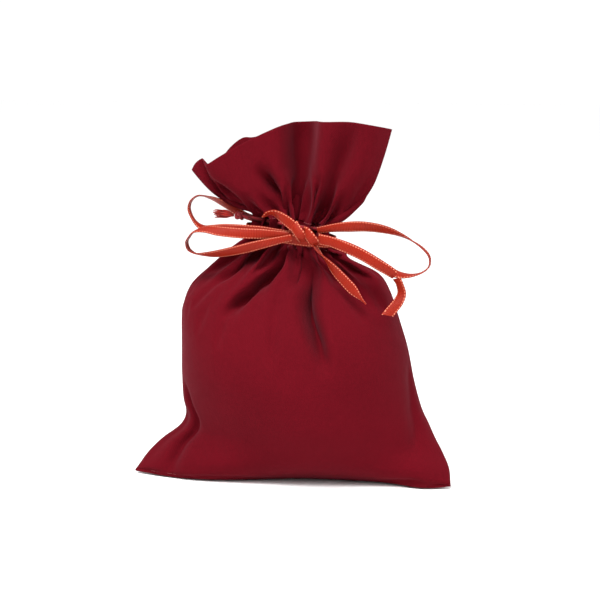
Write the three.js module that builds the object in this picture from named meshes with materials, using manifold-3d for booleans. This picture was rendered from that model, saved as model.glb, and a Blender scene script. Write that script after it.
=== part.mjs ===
// A small cotton gift sack, filled to a round belly, drawn in at a stitched casing and tied with a satin ribbon bow.
// Millimetres, +Z up, the front faces -Y. The origin lies on the face that the sack stands on, below its neck.
// The sack itself is the still body. The collar above the casing, the bow's loops and tails and the knotted
// ends of the drawstring are separate pieces, because each of them moves on its own.
import * as THREE from 'three';
import { mergeVertices } from 'three/addons/utils/BufferGeometryUtils.js';
import Module from 'manifold-3d';

const wasm = await Module();
wasm.setup();

// ---------------------------------------------------------------- driving dimensions
const GAP = 0.3; // between pieces that touch
const BEYOND = 90; // farther to each side than any piece reaches
const TALLEST = 160;
const WALL = 1.2; // cloth shell of the sack
const COLLAR_WALL = 1.0;
const SEAM_Y = -2; // the side seams run up at this depth
const RING_POWER = 2.3; // roundness of the belly's sections, 2 would be an ellipse
const RING_POINTS = 44;
const NECK_FACETS = 40; // facets of what runs round the neck

// The belly: height, half width, front depth, back depth.
const BELLY = [
  [0, 40, -14, 24],
  [4, 43, -25, 28],
  [12, 45, -32, 30],
  [25, 45, -36, 31],
  [45, 43.5, -35, 29],
  [60, 42, -31, 26],
  [72, 38, -24, 22],
  [80, 31, -18, 17],
  [86, 23, -12, 11],
  [91, 16.5, -8, 8],
  [98, 16.5, -8, 8],
];

// The flat sewn corners at the foot of the side seams, as outlines seen from the front.
const EAR_LEFT = [[-62, 0.5], [-62, 3.5], [-42, 24], [-36, 24], [-36, 0], [-54, 0]];
const EAR_RIGHT = [[60, 0.5], [60, 3.5], [44, 32], [36, 32], [36, 0], [54, 0]];
const EAR_THICKNESS = 4;
const EAR_ROOT = 40; // the corners bend forward from here out
const EAR_FORWARD_LEFT = 0.4;
const EAR_FORWARD_RIGHT = 0.7;

// The casing at the neck, in its own tilted frame: the left end stands higher.
const NECK = new THREE.Vector3(-2, 0, 94);
const NECK_TILT = 8;
const CASING_X = 16.5;
const CASING_Y = 8.5;
const CASING_HEIGHT = 10;
const CHANNEL_X = 11;
const CHANNEL_Y = 3.6;
const STITCH_RADIUS = 0.25;
const STITCH_INSET = 0.7;

const CORD_RADIUS = 0.8;
const TUNNEL_RADIUS = 1.25;
const TUNNEL_X = 13.6;
const TUNNEL_Y = 6;
const TUNNEL_Z = 2.6;
const EXIT_RADIUS = 1.95;
const CORD_SPREAD = 0.97; // half the distance between the two cord ends where they leave
const CORD_KNOT_X = -20.5;
const CORD_KNOT_RADIUS = 2.2;
const TASSEL_LENGTH = 11;

const RIBBON_WIDTH = 4;
const RIBBON_THICKNESS = 0.5;
const WRAP_TOP = 0.5;
const KNOT = new THREE.Vector3(6.6, -12.6, 94);
const KNOT_HALF = new THREE.Vector3(4.4, 2.5, 3.6);

// The collar above the casing.
const COLLAR_GAP = 3.8;
const COLLAR_FOOT_X = 17;
const COLLAR_FOOT_Y = 7.5;
const RIM_CENTRE = -1.4;
const RIM_HALF = 37.4;
const RIM_DEPTH = 7.5;
const RIM_EDGE = [[-39, 119], [-34, 122], [-24, 126.5], [-13, 132.5], [-3, 135.8], [24, 135.9], [30, 134.8], [36, 132.5]];
const RIM_BACK_LIFT = 1.5;
const COLLAR_LEVELS = 7;
const COLLAR_SWELL = 0.88; // under 1, the sides spread early

// Ribbon routes: x, y, z and the twist in degrees. Twist 0 shows the face to the front, 90 shows the edge.
const LOOP_LEFT = [
  [1.1, -12.4, 93.9, 10], [-7.4, -13, 94.1, 10], [-17.2, -14, 94.3, 20], [-26.1, -14.5, 94.9, 35],
  [-32.0, -14, 95.5, 60], [-36.5, -13, 94.4, 85], [-39.1, -12, 91.8, 90], [-40.0, -11.5, 89.7, 90],
  [-38.7, -12, 87.1, 90], [-35.0, -13, 85.9, 75], [-28.8, -14.5, 86.2, 50], [-20.6, -15.5, 87.8, 30],
  [-11.6, -15.5, 90.1, 15], [-3.1, -14.8, 92.2, 5], [1.4, -14, 93.2, 5],
];
const LOOP_RIGHT = [
  [11, -12.6, 95.9, 0], [16.2, -13.5, 97.0, 0], [22.4, -14.5, 97.8, 5], [29.7, -15, 98.1, 20],
  [37.1, -15, 97.1, 40], [43.5, -14, 94.8, 65], [48.7, -13, 91.8, 85], [52.3, -12, 88.3, 90],
  [53.3, -12, 85.5, 90], [52.6, -12, 82.8, 90], [49.8, -13, 80.9, 90], [45.3, -14, 80.1, 75],
  [40.7, -15, 80.9, 55], [35.4, -16, 84.0, 35], [28.9, -16.5, 87.7, 20], [22.7, -16, 90.6, 10],
  [16.6, -15, 92.6, 5], [11.6, -14, 93.8, 0],
];
const SLACK_LOOP = [
  [0.0, -11.2, 94.2, 5], [-13.5, -11.6, 95.1, 10], [-24.4, -10.8, 95.4, 20], [-30.8, -9, 95.0, 40],
  [-34.9, -8, 95.6, 70], [-38.4, -6.5, 97.9, 90], [-40.7, -5, 101.7, 90], [-40.3, -4, 105.1, 90],
  [-37.6, -2.5, 107.2, 85], [-33.4, 1, 106.0, 60], [-28.8, 5, 103.2, 35], [-24.2, 6.6, 100.2, 15],
  [-20.8, 6.8, 98.6, 10], [-16.8, 6.4, 97.6, 5],
];
const FOLD = [
  [-9.8, -10.6, 100.6, 80], [-8.0, -11.4, 101.8, 65], [-5.4, -12.2, 101.9, 45], [-2.6, -13, 100.6, 20],
  [0.2, -13.9, 98.9, 5], [2.4, -14.5, 97.2, 0],
];
const TAIL_FRONT = [
  [10.2, -15.9, 91.6, 60], [12.2, -17, 88.8, 50], [15.4, -18.5, 85.8, 30], [20.0, -20, 81.1, 10],
  [25.3, -21, 75.9, 0], [31.1, -22, 70.2, 0],
];
const TAIL_SIDE = [
  [12.0, -15.8, 93.0, 0], [17.0, -17, 92.3, 0], [23.2, -18.5, 90.4, 0], [29.3, -19.2, 87.9, 0],
  [35.3, -19.5, 84.6, 0], [39.1, -19, 82.4, 10], [41.3, -18.5, 80.6, 30],
];
const TAIL_TIP = [
  [41.8, -18.4, 79.7, 35], [42.9, -18, 77.5, 40], [43.7, -18, 74.1, 30], [42.7, -19, 71.1, 20],
  [40.6, -20, 68.3, 10], [38.9, -21, 66.1, 0],
];

// ---------------------------------------------------------------- colours
const RED_CLOTH = { color: 0x7a1624, roughness: 0.85, metalness: 0 };
const RED_THREAD = { color: 0x6a1420, roughness: 0.8, metalness: 0 };
const CORD_RED = { color: 0x8a1a26, roughness: 0.8, metalness: 0 };
const ORANGE_SATIN = { color: 0xc8452f, roughness: 0.45, metalness: 0 };

// ---------------------------------------------------------------- geometry helpers
// A closed geometry as a manifold-3d solid.
function toSolid(geometry) {
  const bare = geometry.clone();
  for (const name of Object.keys(bare.attributes)) {
    if (name !== 'position') bare.deleteAttribute(name);
  }
  const merged = mergeVertices(bare, 1e-4);
  return new wasm.Manifold(new wasm.Mesh({
    numProp: 3,
    vertProperties: merged.attributes.position.array,
    triVerts: new Uint32Array(merged.index.array),
  }));
}

function toGeometry(solid) {
  const mesh = solid.getMesh();
  const geometry = new THREE.BufferGeometry();
  geometry.setAttribute('position', new THREE.BufferAttribute(new Float32Array(mesh.vertProperties), 3));
  geometry.setIndex(new THREE.BufferAttribute(new Uint32Array(mesh.triVerts), 1));
  geometry.computeVertexNormals();
  return geometry;
}

// A closed skin over a row of rings that have the same number of points, with both ends capped.
function loft(rings) {
  const count = rings[0].length;
  const middle = (ring) => ring.reduce((sum, p) => sum.add(p), new THREE.Vector3()).divideScalar(count);
  const points = [...rings.flat(), middle(rings[0]), middle(rings.at(-1))];
  const first = rings.length * count;
  const last = first + 1;
  const top = (rings.length - 1) * count;
  const faces = [];
  for (let i = 0; i < count; i += 1) {
    const next = (i + 1) % count;
    faces.push(first, next, i, last, top + i, top + next);
    for (let level = 0; level < rings.length - 1; level += 1) {
      const a = level * count;
      const b = a + count;
      faces.push(a + i, a + next, b + next, a + i, b + next, b + i);
    }
  }
  const geometry = new THREE.BufferGeometry().setFromPoints(points);
  geometry.setIndex(faces);
  geometry.computeVertexNormals();
  return geometry;
}

// A flat band along a route of [x, y, z, twist] rows, with the given width and thickness.
function band(route, steps) {
  const curve = new THREE.CatmullRomCurve3(route.map((r) => new THREE.Vector3(r[0], r[1], r[2])), false, 'centripetal');
  const front = new THREE.Vector3(0, -1, 0);
  const rings = [];
  for (let step = 0; step <= steps; step += 1) {
    const t = step / steps;
    const place = t * (route.length - 1);
    const index = Math.min(Math.floor(place), route.length - 2);
    const twist = THREE.MathUtils.degToRad(
      THREE.MathUtils.lerp(route[index][3], route[index + 1][3], place - index));
    const centre = curve.getPoint(t);
    const along = curve.getTangent(t);
    const across = new THREE.Vector3().crossVectors(along, front).normalize().applyAxisAngle(along, twist);
    const out = new THREE.Vector3().crossVectors(along, across).normalize();
    const corner = (side, lift) => centre.clone()
      .addScaledVector(across, side * RIBBON_WIDTH / 2)
      .addScaledVector(out, lift * RIBBON_THICKNESS / 2);
    rings.push([corner(-1, -1), corner(1, -1), corner(1, 1), corner(-1, 1)]);
  }
  return loft(rings);
}

// A ring of round section round the neck's oval, as a turned ring pressed to the oval.
function ovalRing(halfX, halfY, radius, height, sides = 8) {
  const round = (halfX + halfY) / 2;
  const profile = [];
  for (let side = 0; side <= sides; side += 1) {
    const angle = side / sides * 2 * Math.PI;
    profile.push(new THREE.Vector2(round + radius * Math.cos(angle), height + radius * Math.sin(angle)));
  }
  return new THREE.LatheGeometry(profile, NECK_FACETS).rotateX(Math.PI / 2).scale(halfX / round, halfY / round, 1);
}

function roundTube(points, radius, steps, sides = 8) {
  const outline = new THREE.Shape();
  outline.absarc(0, 0, radius, 0, 2 * Math.PI, false);
  return new THREE.ExtrudeGeometry(outline, {
    steps,
    curveSegments: sides / 2,
    bevelEnabled: false,
    extrudePath: new THREE.CatmullRomCurve3(points, false, 'centripetal'),
  });
}

function block(low, high) {
  const size = high.map((value, axis) => value - low[axis]);
  return new THREE.BoxGeometry(...size)
    .translate(...low.map((value, axis) => value + size[axis] / 2));
}

function piece(name, geometry, finish) {
  const mesh = new THREE.Mesh(geometry, new THREE.MeshStandardMaterial(finish));
  mesh.name = name;
  return mesh;
}

// ---------------------------------------------------------------- frames
const neckTurn = THREE.MathUtils.degToRad(NECK_TILT);
const neckMatrix = new THREE.Matrix4().makeRotationY(neckTurn).setPosition(NECK);

// ---------------------------------------------------------------- the belly's two panels
function bellyRing([height, half, front, back], inset) {
  const middle = (front + back) / 2;
  const depth = (back - front) / 2 - inset;
  const power = 2 / RING_POWER;
  const ring = [];
  for (let i = 0; i < RING_POINTS; i += 1) {
    const angle = i / RING_POINTS * 2 * Math.PI;
    const cos = Math.cos(angle);
    const sin = Math.sin(angle);
    ring.push(new THREE.Vector3(
      (half - inset) * Math.sign(cos) * Math.abs(cos) ** power,
      middle + depth * Math.sign(sin) * Math.abs(sin) ** power,
      height));
  }
  return ring;
}

// How far the seam has bent forward at a place out along a corner.
function seamDepth(x) {
  const forward = x < 0 ? EAR_FORWARD_LEFT : EAR_FORWARD_RIGHT;
  return SEAM_Y - forward * Math.max(0, Math.abs(x) - EAR_ROOT);
}

// Moves every point of a geometry that is straight along X onto the bent seam.
function bendToSeam(geometry) {
  const position = geometry.attributes.position;
  for (let i = 0; i < position.count; i += 1) {
    position.setY(i, position.getY(i) + seamDepth(position.getX(i)));
  }
  return geometry;
}

function ear(outline) {
  const shape = new THREE.Shape(outline.map(([x, z]) => new THREE.Vector2(x, z)));
  const plate = new THREE.ExtrudeGeometry(shape, { depth: EAR_THICKNESS, bevelEnabled: false })
    .rotateX(Math.PI / 2)
    .translate(0, EAR_THICKNESS / 2, 0);
  return bendToSeam(plate);
}

// Everything on one side of the bent seam, for cutting: side is -1 for the front and 1 for the back.
function seamSide(side) {
  const cutter = new THREE.BoxGeometry(4 * EAR_ROOT, BEYOND, TALLEST, 4, 1, 1)
    .translate(0, side * (BEYOND / 2 + GAP / 2), TALLEST / 2 - 1);
  return toSolid(bendToSeam(cutter));
}

function bellyShell() {
  const outer = toSolid(loft(BELLY.map((row) => bellyRing(row, 0))));
  const rows = BELLY.map((row) => [...row]);
  rows[0][0] = WALL;
  rows.at(-1)[0] += 1;
  const inner = toSolid(loft(rows.map((row) => bellyRing(row, WALL))));
  const above = toSolid(block([-BEYOND, -BEYOND, -CASING_HEIGHT / 2 - GAP], [BEYOND, BEYOND, TALLEST])
    .applyMatrix4(neckMatrix));
  return outer
    .add(toSolid(ear(EAR_LEFT)))
    .add(toSolid(ear(EAR_RIGHT)))
    .subtract(inner)
    .subtract(above);
}

function sideSeamThread(side) {
  const points = BELLY
    .filter(([height]) => height > 2 && height < 88)
    .map(([height, half]) => new THREE.Vector3(side * (half - WALL - GAP - 3 * STITCH_RADIUS), SEAM_Y, height));
  return roundTube(points, STITCH_RADIUS, 30, 6);
}

function bottomSeamThread() {
  const height = WALL + GAP + STITCH_RADIUS;
  const reach = 36;
  return roundTube([-reach, 0, reach].map((x) => new THREE.Vector3(x, SEAM_Y, height)), STITCH_RADIUS, 12, 6);
}

// ---------------------------------------------------------------- the casing, its stitches and its cord
function casingShell() {
  const outline = new THREE.Shape();
  outline.absellipse(0, 0, CASING_X, CASING_Y, 0, 2 * Math.PI, false);
  const channel = new THREE.Path();
  channel.absellipse(0, 0, CHANNEL_X, CHANNEL_Y, 0, 2 * Math.PI, false);
  outline.holes.push(channel);
  const ring = new THREE.ExtrudeGeometry(outline, { depth: CASING_HEIGHT, bevelEnabled: false, curveSegments: NECK_FACETS / 2 })
    .translate(0, 0, -CASING_HEIGHT / 2);
  const tunnel = roundTube(cordRoute(CORD_SPREAD / 2), TUNNEL_RADIUS, NECK_FACETS, 8);
  const exit = new THREE.CylinderGeometry(EXIT_RADIUS, EXIT_RADIUS, 6, 24)
    .rotateZ(Math.PI / 2)
    .translate(-TUNNEL_X - 2, 0, TUNNEL_Z);
  return toSolid(ring).subtract(toSolid(tunnel)).subtract(toSolid(exit));
}

function halfOf(solid, side) {
  const low = side < 0 ? -BEYOND : GAP / 2;
  const high = low + BEYOND - GAP / 2;
  return toGeometry(solid.intersect(toSolid(block([-BEYOND, low, -BEYOND], [BEYOND, high, TALLEST]))));
}

// Once round the neck inside the casing, open at the left, where its ends are the given distance from the middle.
function cordRoute(spread) {
  const from = Math.asin(spread / TUNNEL_Y);
  const steps = 40;
  return Array.from({ length: steps + 1 }, (_, i) => {
    const angle = Math.PI + from + (2 * Math.PI - 2 * from) * i / steps;
    return new THREE.Vector3(TUNNEL_X * Math.cos(angle), TUNNEL_Y * Math.sin(angle), TUNNEL_Z);
  });
}

function drawstringCord() {
  return roundTube(cordRoute(CORD_SPREAD), CORD_RADIUS, NECK_FACETS, 8);
}

function cordEnd(side) {
  const start = -TUNNEL_X - CORD_RADIUS - GAP;
  const end = CORD_KNOT_X + CORD_KNOT_RADIUS + GAP;
  return roundTube(
    [start, (start + end) / 2, end].map((x) => new THREE.Vector3(x, side * CORD_SPREAD, TUNNEL_Z)),
    CORD_RADIUS, 4, 10);
}

function cordKnot() {
  return new THREE.SphereGeometry(CORD_KNOT_RADIUS, 16, 10).scale(0.95, 1, 1.05)
    .translate(CORD_KNOT_X, 0, TUNNEL_Z);
}

// The frayed ends as one brush that spreads from the knot outwards and flattens.
function tassel() {
  const profile = [[0, 0], [0.9, 0], [1.5, 3], [2.4, 7], [2.9, TASSEL_LENGTH], [0, TASSEL_LENGTH]]
    .map(([radius, along]) => new THREE.Vector2(radius, along));
  return new THREE.LatheGeometry(profile, 14).rotateZ(Math.PI / 2).scale(1, 0.8, 1)
    .translate(CORD_KNOT_X - CORD_KNOT_RADIUS - GAP, 0, TUNNEL_Z);
}

// ---------------------------------------------------------------- the ribbon round the neck and its knot
function ribbonWrap() {
  const halfX = CASING_X + 1.2;
  const halfY = CASING_Y + 1;
  const round = (halfX + halfY) / 2;
  const low = WRAP_TOP - RIBBON_WIDTH;
  const corners = [[0, low], [RIBBON_THICKNESS, low], [RIBBON_THICKNESS, WRAP_TOP], [0, WRAP_TOP], [0, low]];
  const profile = corners.map(([out, up]) => new THREE.Vector2(round - RIBBON_THICKNESS / 2 + out, up));
  return new THREE.LatheGeometry(profile, NECK_FACETS).rotateX(Math.PI / 2).scale(halfX / round, halfY / round, 1);
}

function ribbonKnot() {
  return new THREE.SphereGeometry(1, 20, 12).scale(KNOT_HALF.x, KNOT_HALF.y, KNOT_HALF.z)
    .translate(KNOT.x, KNOT.y, KNOT.z);
}

// ---------------------------------------------------------------- the collar
function rimHeight(x) {
  const after = RIM_EDGE.findIndex(([edge]) => edge > x);
  if (after === 0) return RIM_EDGE[0][1];
  if (after < 0) return RIM_EDGE.at(-1)[1];
  const [x0, z0] = RIM_EDGE[after - 1];
  const [x1, z1] = RIM_EDGE[after];
  return THREE.MathUtils.mapLinear(x, x0, x1, z0, z1);
}

// One section of the collar, from the foot at 0 to the rim at 1.
function collarRing(level, inset) {
  const footHeight = CASING_HEIGHT / 2 + COLLAR_GAP;
  const ring = [];
  for (let i = 0; i < RING_POINTS; i += 1) {
    const angle = i / RING_POINTS * 2 * Math.PI;
    const cos = Math.cos(angle);
    const sin = Math.sin(angle);
    const foot = new THREE.Vector3((COLLAR_FOOT_X - inset) * cos, (COLLAR_FOOT_Y - inset) * sin, footHeight)
      .applyMatrix4(neckMatrix);
    const rimX = RIM_CENTRE + (RIM_HALF - 2 * inset) * cos;
    const lift = sin > 0 ? RIM_BACK_LIFT * sin : 0;
    const rim = new THREE.Vector3(rimX, (RIM_DEPTH - inset) * sin, rimHeight(rimX) + lift);
    const spread = Math.sign(level) * Math.abs(level) ** COLLAR_SWELL;
    const point = foot.clone().lerp(rim, level);
    point.x = THREE.MathUtils.lerp(foot.x, rim.x, spread);
    ring.push(point);
  }
  return ring;
}

function collarShell() {
  const levels = Array.from({ length: COLLAR_LEVELS + 1 }, (_, i) => i / COLLAR_LEVELS);
  const outer = toSolid(loft(levels.map((level) => collarRing(level, 0))));
  const beyond = [-0.04, ...levels.slice(1, -1), 1.06];
  const inner = toSolid(loft(beyond.map((level) => collarRing(level, COLLAR_WALL))));
  return outer.subtract(inner);
}

// ---------------------------------------------------------------- assembly
const sack = new THREE.Group();
const belly = bellyShell();
sack.add(
  piece('front_panel', toGeometry(belly.intersect(seamSide(-1))), RED_CLOTH),
  piece('back_panel', toGeometry(belly.intersect(seamSide(1))), RED_CLOTH),
  piece('side_seam_thread_left', sideSeamThread(-1), RED_THREAD),
  piece('side_seam_thread_right', sideSeamThread(1), RED_THREAD),
  piece('bottom_seam_thread', bottomSeamThread(), RED_THREAD),
);

const neck = new THREE.Group();
neck.position.copy(NECK);
neck.rotation.y = neckTurn;
const casing = casingShell();
const stitchX = CASING_X + GAP + 2 * STITCH_RADIUS;
const stitchY = CASING_Y + GAP + STITCH_RADIUS;
const stitchHeight = CASING_HEIGHT / 2 - STITCH_INSET;
neck.add(
  piece('casing_front', halfOf(casing, -1), RED_CLOTH),
  piece('casing_back', halfOf(casing, 1), RED_CLOTH),
  piece('casing_thread_upper', ovalRing(stitchX, stitchY, STITCH_RADIUS, stitchHeight, 6), RED_THREAD),
  piece('casing_thread_lower', ovalRing(stitchX, stitchY, STITCH_RADIUS, -stitchHeight, 6), RED_THREAD),
  piece('drawstring_cord', drawstringCord(), CORD_RED),
  piece('drawstring_end_front', cordEnd(-1), CORD_RED),
  piece('drawstring_end_back', cordEnd(1), CORD_RED),
  piece('drawstring_knot', cordKnot(), CORD_RED),
  piece('drawstring_tassel', tassel(), CORD_RED),
  piece('ribbon_wrap', ribbonWrap(), ORANGE_SATIN),
);

const collar = collarShell();
const top = new THREE.Group();
top.add(
  piece('collar_front', halfOf(collar, -1), RED_CLOTH),
  piece('collar_back', halfOf(collar, 1), RED_CLOTH),
);

const bow = new THREE.Group();
bow.add(
  piece('ribbon_knot', ribbonKnot(), ORANGE_SATIN),
  piece('ribbon_fold', band(FOLD, 16), ORANGE_SATIN),
  piece('ribbon_loop_left', band(LOOP_LEFT, 36), ORANGE_SATIN),
  piece('ribbon_loop_right', band(LOOP_RIGHT, 40), ORANGE_SATIN),
  piece('ribbon_slack_loop', band(SLACK_LOOP, 34), ORANGE_SATIN),
  piece('ribbon_tail_front', band(TAIL_FRONT, 16), ORANGE_SATIN),
  piece('ribbon_tail_side', band(TAIL_SIDE, 16), ORANGE_SATIN),
  piece('ribbon_tail_side_tip', band(TAIL_TIP, 14), ORANGE_SATIN),
);

const giftSack = new THREE.Group();
giftSack.add(sack, neck, top, bow);

export default giftSack;
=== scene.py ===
"""Looks of a small cotton gift sack: gathered cloth, satin bow, frayed drawstring and white studio."""

import math
import random

import bmesh
import bpy
from mathutils import Matrix, Vector


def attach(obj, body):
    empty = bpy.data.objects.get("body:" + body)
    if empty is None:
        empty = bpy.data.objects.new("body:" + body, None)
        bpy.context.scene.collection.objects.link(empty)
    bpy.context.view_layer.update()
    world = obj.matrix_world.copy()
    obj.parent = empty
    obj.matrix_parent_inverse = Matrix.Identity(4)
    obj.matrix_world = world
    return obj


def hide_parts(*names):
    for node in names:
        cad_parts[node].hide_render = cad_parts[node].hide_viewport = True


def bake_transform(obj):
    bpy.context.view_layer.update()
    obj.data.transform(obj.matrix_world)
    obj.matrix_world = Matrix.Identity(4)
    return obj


bl_info = {
    "name": "Fabric gift sack",
    "version": (1, 0, 0),
    "blender": (4, 5, 0),
    "location": "3D View > Sidebar > Gift sack",
    "description": "Builds the cloth, ribbon, drawstring and stitches of a small gift sack",
    "category": "Add Mesh",
}

MM = 0.001
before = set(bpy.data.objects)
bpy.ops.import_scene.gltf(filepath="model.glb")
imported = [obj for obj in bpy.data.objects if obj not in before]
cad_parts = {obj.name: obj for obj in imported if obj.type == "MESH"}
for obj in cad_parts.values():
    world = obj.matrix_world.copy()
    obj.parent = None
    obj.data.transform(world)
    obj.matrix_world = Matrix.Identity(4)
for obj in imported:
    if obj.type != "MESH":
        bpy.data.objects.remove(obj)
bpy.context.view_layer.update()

# The neck has its own tilted frame: its left end stands higher.
NECK = Vector((-2, 0, 94)) * MM
NECK_TILT = math.radians(8)
TO_NECK = Matrix.Translation(NECK) @ Matrix.Rotation(NECK_TILT, 4, "Y")

# ---------------------------------------------------------------- the cloth's cut and its lines
# Millimetres of cloth up a panel from its bottom seam: the casing's two stitch rows, and the rim.
CASING_LOW, CASING_TOP, RIM = 121.0, 131.0, 170.0

# Up the middle of a panel: cloth height, depth, height above the ground.
FRONT_LINE = [
    (0, -13, 0.6), (14, -23.5, 9), (26, -29.5, 18), (38, -33.5, 28), (52, -35.5, 40),
    (66, -34.5, 50), (80, -32, 60.5), (93, -27.5, 69.5), (104, -21, 77), (113, -15, 83),
    (CASING_LOW, -9.5, 89),
]
BACK_LINE = [
    (0, -13, 0.6), (14, 1, 0.6), (26, 13, 0.6), (38, 24, 3.5), (52, 30, 15), (66, 30, 30),
    (80, 28, 45), (93, 24, 58.5), (104, 18, 70), (113, 12.5, 80), (CASING_LOW, 9, 89),
]
# Up the side seams: cloth height, left reach, right reach, left depth, right depth, height, roundness.
SEAM_LINE = [
    (0, -60.8, 62.8, -11.5, -14.5, 0.8, 1.5), (14, -57.4, 62, -9, -11, 8, 1.45),
    (22, -52.4, 58.8, -5, -7, 13.5, 1.5), (28, -45.6, 55.4, -4, -5, 18.5, 1.65),
    (33, -43.2, 52.6, -3, -3, 23.5, 1.8), (40, -44.2, 49.6, -2, -3, 30, 1.9),
    (52, -44, 46.2, -2, -2, 41, 2.1), (66, -43.6, 43.6, -2, -2, 53, 2.2),
    (80, -43.6, 40, -2, -2, 64, 2.2), (93, -43.2, 37.4, -1, -1, 72.5, 2.1),
    (104, -36, 34.2, 0, 0, 79.5, 2.0), (113, -27, 28.5, 0, 0, 85, 2.0),
    (CASING_LOW, -18.5, 14.5, 0, 0, 90, 2.0),
]
# Steps over half a panel before its points are spread evenly.
HALF_STEPS = 60
# The belly takes up the neck's tilt from this cloth height on.
TILT_START = 102
# The foot's seam runs forward in places, less and less up to FOOT_TOP: reach, middle, spread.
FOOT_FORWARD = [(10.5, -34, 31), (4, 51, 9)]
FOOT_TOP = 30
# The casing in the neck's own frame.
CASING_REACH, CASING_DEPTH, CASING_MIDDLE = 16.2, 8.2, 126
# The casing's mouth stands out at the right seam: how far, at what cloth height, over what
# height, and from what step across.
TAB_REACH, TAB_HEIGHT, TAB_SPREAD, TAB_START = 6.5, 120.5, 2.6, 44
# Round the rim, from the left seam to the right seam: x, y, z.
RIM_FRONT = [
    (-43, 6, 116.4), (-39.8, 3, 120.6), (-35.5, -2, 120.4), (-33.3, -9, 119.4),
    (-27.5, -10.5, 122.8), (-21.5, -8.5, 126.4), (-15.5, -9.5, 129.4), (-10.5, -9.5, 131.8),
    (-5, -8, 134.2), (-0.5, -4, 135.5), (2.5, -1, 136), (7, -3, 136.2), (12.5, -8.5, 136.2),
    (21, -8.5, 136.2), (27, -9, 135.6), (32, -7, 134.7), (37, 0, 133.3),
]
RIM_BACK = [
    (-43, 6, 116.4), (-40.4, 9, 119.0), (-34.6, 12, 118.6), (-28.6, 12, 125.2), (-23.4, 11, 128.9),
    (-19, 10, 129.2), (-12, 10, 131), (-4, 10, 133), (5, 8, 134), (15, 9, 134.2), (25, 8, 133.8),
    (32, 5, 133.4), (37, 0, 133.3),
]
# How soon the collar flares out above the casing, by place across: -1 is the left seam and 1 the right.
# The smaller the value, the sooner it flares.
FLARE_FRONT = [(-1, 0.52), (-0.8, 0.42), (-0.5, 0.6), (0, 0.85), (0.6, 0.75), (1, 0.42)]
FLARE_BACK = [(-1, 0.52), (-0.5, 0.8), (0, 0.8), (0.5, 0.72), (1, 0.42)]
# Long folds, as lines on the flat panel, in millimetres from its middle and its bottom seam: start
# across and height, end across and height, half width at the start and at the end, depth.
FRONT_FOLDS = [
    (13, 123, 17, 68, 3.2, 2.4, 14.0), (5, 122, 7, 104, 2.0, 2.4, 7.0),
    (-4, 122, -20, 90, 2.0, 2.4, 11.0), (-25, 121, -37, 104, 2.4, 3.2, 8.0),
    (-42, 121, -53, 103, 2.4, 3.6, 5.0), (24, 122, 30, 105, 2.0, 2.8, 6.0),
    (38, 121, 50, 104, 2.2, 3.4, 5.0), (-14, 121, -20, 108, 1.6, 2.2, 5.0),
    (33, 121, 42, 88, 2.0, 4.0, 3.4), (12, 129, 12, 176, 4.2, 7.6, 9.5),
    (-1, 129, -12, 154, 2.2, 3.2, 9.0), (-33, 129, -45, 154, 3.6, 5.6, 13.0),
    (34, 129, 40, 168, 3.0, 6.0, 6.0), (24, 129, 27, 147, 2.0, 2.8, 5.0),
    (51, 129, 55, 150, 2.4, 4.0, 4.0), (-54, 130, -53.5, 176, 1.8, 2.6, 8.0),
    (-47, 44, -45, 6, 2.0, 2.8, 6.0), (57, 56, 49, 24, 2.2, 3.4, 5.0),
    (-54, 34, -57, 10, 2.0, 3.0, 2.4),
]
BACK_FOLDS = [
    (-6, 123, -10, 84, 2.8, 5.0, 4.6), (12, 122, 26, 98, 2.6, 4.6, 3.6),
    (-20, 121, -34, 100, 2.6, 4.2, 3.2), (30, 121, 44, 106, 2.4, 3.8, 2.6),
    (-38, 121, -50, 106, 2.4, 3.6, 2.4), (4, 122, 6, 106, 2.0, 2.8, 2.4),
    (4, 129, 2, 172, 3.2, 6.5, 4.0), (-24, 129, -30, 160, 3.0, 5.5, 3.4),
    (26, 129, 34, 158, 3.0, 5.0, 3.2), (-46, 129, -50, 150, 2.6, 4.0, 2.2),
    (-44, 46, -40, 14, 3.0, 4.4, 2.6), (46, 44, 42, 16, 3.0, 4.4, 2.4),
]
# The higher the value, the flatter a fold's floor and the steeper its sides.
FOLD_SHARPNESS = 1.6


def length_property(name, description, default):
    return bpy.props.FloatProperty(name=name, description=description, default=default, unit="LENGTH")


def count_property(name, description, default, least):
    return bpy.props.IntProperty(name=name, description=description, default=default, min=least)


def colour_property(name, description, default):
    return bpy.props.FloatVectorProperty(
        name=name, description=description, default=default, size=3, subtype="COLOR", min=0, max=1)


class SackSizes(bpy.types.PropertyGroup):
    """Sizes of the cloth."""

    around: count_property("Cells around", "Cells of the cloth's grid round the sack", 160, 40)
    up: count_property("Cells up", "Cells of the cloth's grid from the bottom seam to the rim", 112, 30)
    width: length_property("Flat width", "Width of one panel laid flat", 122 * MM)
    pleats: count_property("Pleats", "Small pleats that the casing is gathered into", 19, 4)
    thickness: length_property("Cloth thickness", "Thickness of the cotton", 0.4 * MM)
    thread_pitch: length_property("Thread pitch", "Distance from one warp thread to the next", 0.42 * MM)


class RibbonSizes(bpy.types.PropertyGroup):
    """Sizes of the ribbon."""

    width: length_property("Width", "Width of the satin ribbon", 4 * MM)
    thickness: length_property("Thickness", "Thickness of the satin ribbon", 0.28 * MM)
    rib_pitch: length_property("Rib pitch", "Distance from one cross rib to the next", 0.62 * MM)
    stitch_pitch: length_property("Stitch pitch", "Distance from one edge stitch to the next", 1.05 * MM)


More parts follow.
